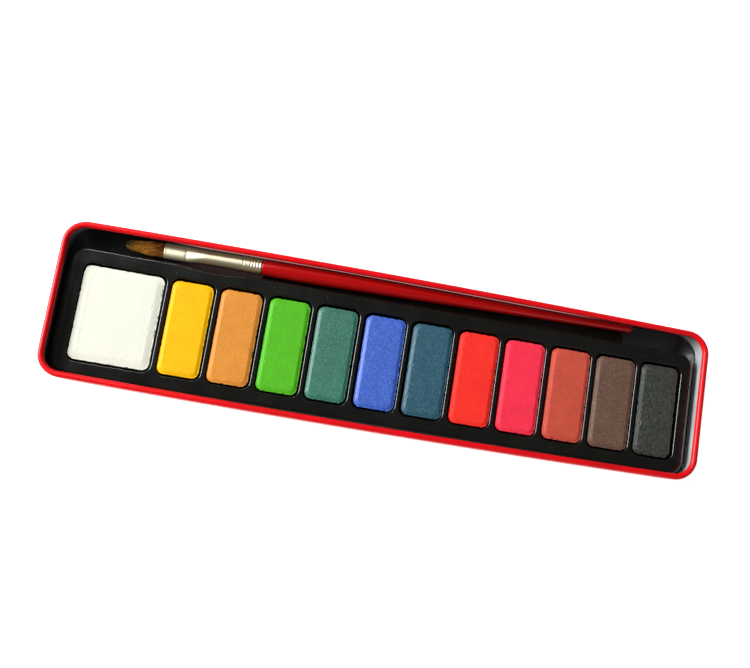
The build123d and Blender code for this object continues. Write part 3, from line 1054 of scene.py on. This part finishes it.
class PAINTSET_OT_handle(bpy.types.Operator):
    """Make the turned and lacquered handle"""

    bl_idname = "paint_set.handle"
    bl_label = "Handle"

    def execute(self, context):
        axis = BrushAxis(context.scene.brush_sizes.lean)
        start = axis.ferrule_end
        length = axis.handle_end - start
        belly = size_mm("brush_handle", 2) / 2
        # Radius at shares of the handle's length: it swells behind the ferrule, then tapers
        marks = (
            (0.0, 2.75), (0.05, belly - 0.09), (0.104, belly), (0.25, belly * 0.955),
            (0.40, belly * 0.865), (0.58, 2.3), (0.75, 1.89), (0.90, 1.60),
            (1.0 - HANDLE_END / length, HANDLE_END),
        )
        stations = [
            (start - TANG, 2.3, 2.3), (start - 0.02, 2.55, 2.55), (start + 0.02, 2.6, 2.6)
        ]
        for i in range(HANDLE_STEPS + 1):
            share = marks[-1][0] * i / HANDLE_STEPS
            radius = smooth_between(marks, share) - 0.12 * bell(share * length, 0.16)
            stations.append((start + 0.05 + share * length, radius, radius))
        for x, z in arc((0.0, 0.0), HANDLE_END, 90, 4, 14)[1:]:
            stations.append((axis.handle_end - HANDLE_END + x, z, z))
        points = turned_points(axis, stations)
        faces = join_rings(0, TUBE_SIDES, len(stations))
        handle = make_piece(
            "lacquered_handle", points, faces, [dipped_beech(context.scene.other_colours)]
        )
        turn_faces_out(handle)
        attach(handle, "brush")
        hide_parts("brush_handle")
        return {"FINISHED"}


def hair_points(axis, thickness, draw):
    """Points of one tapered hair of four sides, from inside the ferrule to its tip."""
    angle = draw.uniform(0, 2 * math.pi)
    reach = math.sqrt(draw.random())
    sideways = reach * math.cos(angle)
    upwards = reach * math.sin(angle)
    root = axis.mouth + ROOT_DEPTH
    tip = 0.09 * axis.mouth * abs(sideways)**3 + draw.random()**2 * 1.3 + 0.02
    wander = draw.uniform(-0.10, 0.10)
    lift = draw.uniform(-0.05, 0.05)
    points = []
    for row in range(HAIR_RINGS):
        along = row / (HAIR_RINGS - 1)
        station = root + (tip - root) * along
        # The tuft swells a little past the ferrule, then narrows and flattens to its tip
        out = max(0.0, (axis.mouth - station) / axis.mouth)
        swell = 1.0 + 0.07 * math.sin(math.pi * min(1.0, out * 1.6)) if out < 0.62 else 1.0
        narrow = 1.0 - 0.36 * eased((out - 0.22) / 0.85)
        flat = 1.0 - 0.45 * eased((out - 0.28) / 0.8)
        middle_side = TUFT_HALF_WIDTH * sideways * swell * narrow + wander * out**1.5
        middle_up = TUFT_HALF_HEIGHT * upwards * swell * flat + lift * out**1.5
        half = thickness / 2 * (1.0 - 0.65 * along)
        for side, up in ((-1, -1), (1, -1), (1, 1), (-1, 1)):
            spot = axis.place(station, middle_side + side * half, middle_up + up * half)
            points.append(tuple(spot))
    return points


class PAINTSET_OT_bristles(bpy.types.Operator):
    """Make the flat tuft of hair"""

    bl_idname = "paint_set.bristles"
    bl_label = "Bristles"

    def execute(self, context):
        sizes = context.scene.brush_sizes
        axis = BrushAxis(sizes.lean)
        draw = random.Random(HAIR_SEED)
        points = []
        faces = []
        for _ in range(sizes.hairs):
            faces += join_rings(len(points), 4, HAIR_RINGS)
            points += hair_points(axis, sizes.hair / MM, draw)
        colours = context.scene.other_colours
        hair = brush_hair(colours, axis.tip.x + axis.mouth, axis.tip.x)
        tuft = make_piece("hair_tuft", points, faces, [hair])
        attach(tuft, "brush")
        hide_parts("brush_bristles")
        return {"FINISHED"}


# The stage

FLOOR_HALF = 2500.0
# Just under the tin, so that the two never share a plane
FLOOR_LEVEL = -0.05
# Each light's name, place, width and height in millimetres, and power in watts
LIGHTS = (
    ("window", (-852.0, 150.0, 580.0), 480.0, 400.0, 18.4),
    ("reflector", (500.0, -700.0, 450.0), 500.0, 400.0, 0.5),
    ("strip_light", (-300.0, 400.0, 800.0), 120.0, 60.0, 1.0),
)
ROOM_LIGHT = 0.08
# The camera's place in millimetres, its turn in radians, and its lens
CAMERA_PLACE = (-30.574, -35.440, 304.684)
CAMERA_TURN = (0.124045, -0.107611, 0.161281)
CAMERA_SENSOR = 36.0
CAMERA_LENS = 40.8


def add_light(name, place, width, height, power):
    """Add a soft rectangular light that faces the tin."""
    light = bpy.data.lights.new(name, "AREA")
    light.shape = "RECTANGLE"
    light.size = width * MM
    light.size_y = height * MM
    light.energy = power
    lamp = bpy.data.objects.new(name, light)
    lamp.location = Vector(place) * MM
    lamp.rotation_euler = (-Vector(place)).to_track_quat("-Z", "Y").to_euler()
    bpy.context.scene.collection.objects.link(lamp)


def add_camera(scene):
    """Add the camera: above the tin, a little to the left and in front, and turned."""
    lens = bpy.data.cameras.new("camera")
    lens.type = "PERSP"
    lens.sensor_fit = "HORIZONTAL"
    lens.sensor_width = CAMERA_SENSOR
    lens.lens = CAMERA_LENS
    lens.clip_start = 0.01
    camera = bpy.data.objects.new("camera", lens)
    camera.location = Vector(CAMERA_PLACE) * MM
    camera.rotation_euler = Euler(CAMERA_TURN, "XYZ")
    scene.collection.objects.link(camera)
    scene.camera = camera


class PAINTSET_OT_stage(bpy.types.Operator):
    """Make the paper, the lights and the camera"""

    bl_idname = "paint_set.stage"
    bl_label = "Stage"

    def execute(self, context):
        corners = [
            (x * FLOOR_HALF, y * FLOOR_HALF, FLOOR_LEVEL)
            for x, y in ((-1, -1), (1, -1), (1, 1), (-1, 1))
        ]
        paper = make_piece(
            "paper_floor", corners, [(0, 1, 2, 3)], [white_paper(context.scene.other_colours)],
            None, False,
        )
        for light in LIGHTS:
            add_light(*light)
        world = bpy.data.worlds.new("soft_room")
        world.use_nodes = True
        room = world.node_tree.nodes["Background"].inputs
        room["Color"].default_value = shade((1.0, 1.0, 1.0))
        room["Strength"].default_value = ROOM_LIGHT
        context.scene.world = world
        context.scene.view_settings.view_transform = "Standard"
        add_camera(context.scene)
        return {"FINISHED"}


class PAINTSET_PT_panel(bpy.types.Panel):
    """List the pieces of the paint set"""

    bl_label = "Paint set"
    bl_idname = "PAINTSET_PT_panel"
    bl_space_type = "VIEW_3D"
    bl_region_type = "UI"
    bl_category = "Paint set"

    def draw(self, context):
        """Draw a button for each piece, then the sizes and colours."""
        for operator in OPERATORS:
            self.layout.operator(operator.bl_idname)
        for name, kind in SETTINGS.items():
            box = self.layout.box()
            for key in kind.__annotations__:
                box.prop(getattr(context.scene, name), key)


OPERATORS = (
    PAINTSET_OT_stage,
    PAINTSET_OT_tin,
    PAINTSET_OT_tray,
    PAINTSET_OT_cakes,
    PAINTSET_OT_ferrule,
    PAINTSET_OT_handle,
    PAINTSET_OT_bristles,
)
SETTINGS = {
    "tin_sizes": TinSizes,
    "tray_sizes": TraySizes,
    "cake_sizes": CakeSizes,
    "brush_sizes": BrushSizes,
    "paint_colours": PaintColours,
    "other_colours": OtherColours,
}


def register():
    """Register the classes and hang the settings on the scene."""
    for kind in (*SETTINGS.values(), *OPERATORS, PAINTSET_PT_panel):
        bpy.utils.register_class(kind)
    for name, kind in SETTINGS.items():
        setattr(bpy.types.Scene, name, bpy.props.PointerProperty(type=kind))


def unregister():
    """Take the settings off the scene and unregister the classes."""
    for name in SETTINGS:
        delattr(bpy.types.Scene, name)
    for kind in (PAINTSET_PT_panel, *reversed(OPERATORS), *SETTINGS.values()):
        bpy.utils.unregister_class(kind)


def main():
    """Make every piece in order."""
    register()
    bpy.ops.paint_set.stage()
    bpy.ops.paint_set.tin()
    bpy.ops.paint_set.tray()
    bpy.ops.paint_set.cakes()
    bpy.ops.paint_set.ferrule()
    bpy.ops.paint_set.handle()
    bpy.ops.paint_set.bristles()


if __name__ == "__main__":
    main()
